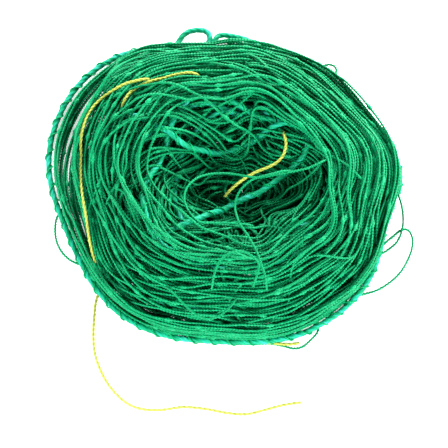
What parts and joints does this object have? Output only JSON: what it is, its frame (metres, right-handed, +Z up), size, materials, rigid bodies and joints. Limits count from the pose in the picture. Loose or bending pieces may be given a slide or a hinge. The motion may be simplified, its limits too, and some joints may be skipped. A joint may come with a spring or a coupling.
{
  "type": "wound twine netting",
  "caption": "Knotted twine netting with roped borders, wound up into a flat ring with a free length of tie twine.",
  "frame": {"origin": "centre of the ring's box in plan, on the surface that it lies on; the free tie end isn't counted", "axes": "+X along the ring's longer diameter, +Y away from the free tie end, +Z up out of the ring's hole"},
  "size_m": [0.1824, 0.2059, 0.038],
  "materials": {
    "net_twine": "glossy twisted plastic twine, mid green",
    "border_rope": "soft twisted rope, streaked teal and green",
    "lashing_twine": "glossy twisted plastic twine, green",
    "tie_twine": "twisted twine, yellow"
  },
  "bodies": {
    "bundle": {"foot_rope": "border_rope", "head_rope": "border_rope", "head_rope_lashing": "lashing_twine", "outer_tie": "tie_twine", "upper_tie": "tie_twine", "inner_tie": "tie_twine", "tie_tail": "tie_twine", "net_twine_01": "net_twine", "net_twine_02": "net_twine", "net_twine_03": "net_twine", "net_twine_04": "net_twine", "net_twine_05": "net_twine", "net_twine_06": "net_twine", "net_twine_07": "net_twine", "net_twine_08": "net_twine", "net_twine_09": "net_twine", "net_twine_10": "net_twine", "net_twine_11": "net_twine", "net_twine_12": "net_twine", "net_twine_13": "net_twine", "net_twine_14": "net_twine", "net_twine_15": "net_twine", "net_twine_16": "net_twine", "net_twine_17": "net_twine", "net_twine_18": "net_twine", "net_twine_19": "net_twine", "net_twine_20": "net_twine"},
    "top_rope_loop": {"top_rope_loop": "border_rope"},
    "left_twine_loop": {"left_twine_loop": "net_twine"},
    "right_twine_loop": {"right_twine_loop": "net_twine"}
  },
  "joints": [
    {"name": "top_rope_loop_lift", "type": "hinge", "parent": "bundle", "child": "top_rope_loop", "pos_m": [-0.01804, 0.0789, 0.0024], "axis": [1, 0, 0], "range_deg": [0, 90]},
    {"name": "left_twine_loop_lift", "type": "hinge", "parent": "bundle", "child": "left_twine_loop", "pos_m": [-0.08339, -0.0307, 0.00115], "axis": [-0.3628, 0.9319, 0], "range_deg": [0, 90]},
    {"name": "right_twine_loop_lift", "type": "hinge", "parent": "bundle", "child": "right_twine_loop", "pos_m": [0.07566, -0.0422, 0.00115], "axis": [-0.3201, -0.9474, 0], "range_deg": [0, 90]}
  ]
}
